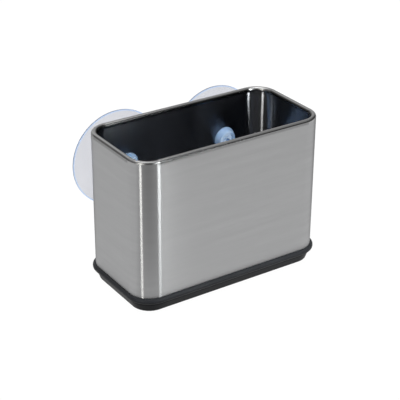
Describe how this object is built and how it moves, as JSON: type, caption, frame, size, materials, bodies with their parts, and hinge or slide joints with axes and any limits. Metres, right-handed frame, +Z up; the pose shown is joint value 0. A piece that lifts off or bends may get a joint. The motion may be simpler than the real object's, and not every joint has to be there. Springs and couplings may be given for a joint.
{
  "type": "sink sponge holder",
  "caption": "Open-topped brushed steel caddy with a rolled rim, a slotted black pull-off base and clear suction cups on its back wall.",
  "frame": {"origin": "middle of the base's underside, under the centre of the steel sleeve, on the surface that the holder stands on", "axes": "+X along the length, +Y back towards the sink wall that the cups hold, +Z up"},
  "size_m": [0.141, 0.0817, 0.1028],
  "materials": {
    "brushed_steel": "brushed along the length, polished on the rolled rim",
    "black_plastic": "fine satin moulding",
    "clear_vinyl": "clear, faintly blue and glossy"
  },
  "bodies": {
    "holder": {"sleeve": "brushed_steel"},
    "pull_off_base": {"base": "black_plastic"},
    "left_cup": {"suction_cup_left": "clear_vinyl"},
    "right_cup": {"suction_cup_right": "clear_vinyl"}
  },
  "joints": [
    {"name": "base_pull_off", "type": "slide", "parent": "holder", "child": "pull_off_base", "axis": [0, 0, -1], "range_m": [0, 0.03]},
    {"name": "left_cup_turn", "type": "hinge", "parent": "holder", "child": "left_cup", "pos_m": [-0.0374, 0.0336, 0.0701], "axis": [0, 1, 0], "continuous": true},
    {"name": "right_cup_turn", "type": "hinge", "parent": "holder", "child": "right_cup", "pos_m": [0.0374, 0.0336, 0.0701], "axis": [0, 1, 0], "continuous": true}
  ]
}
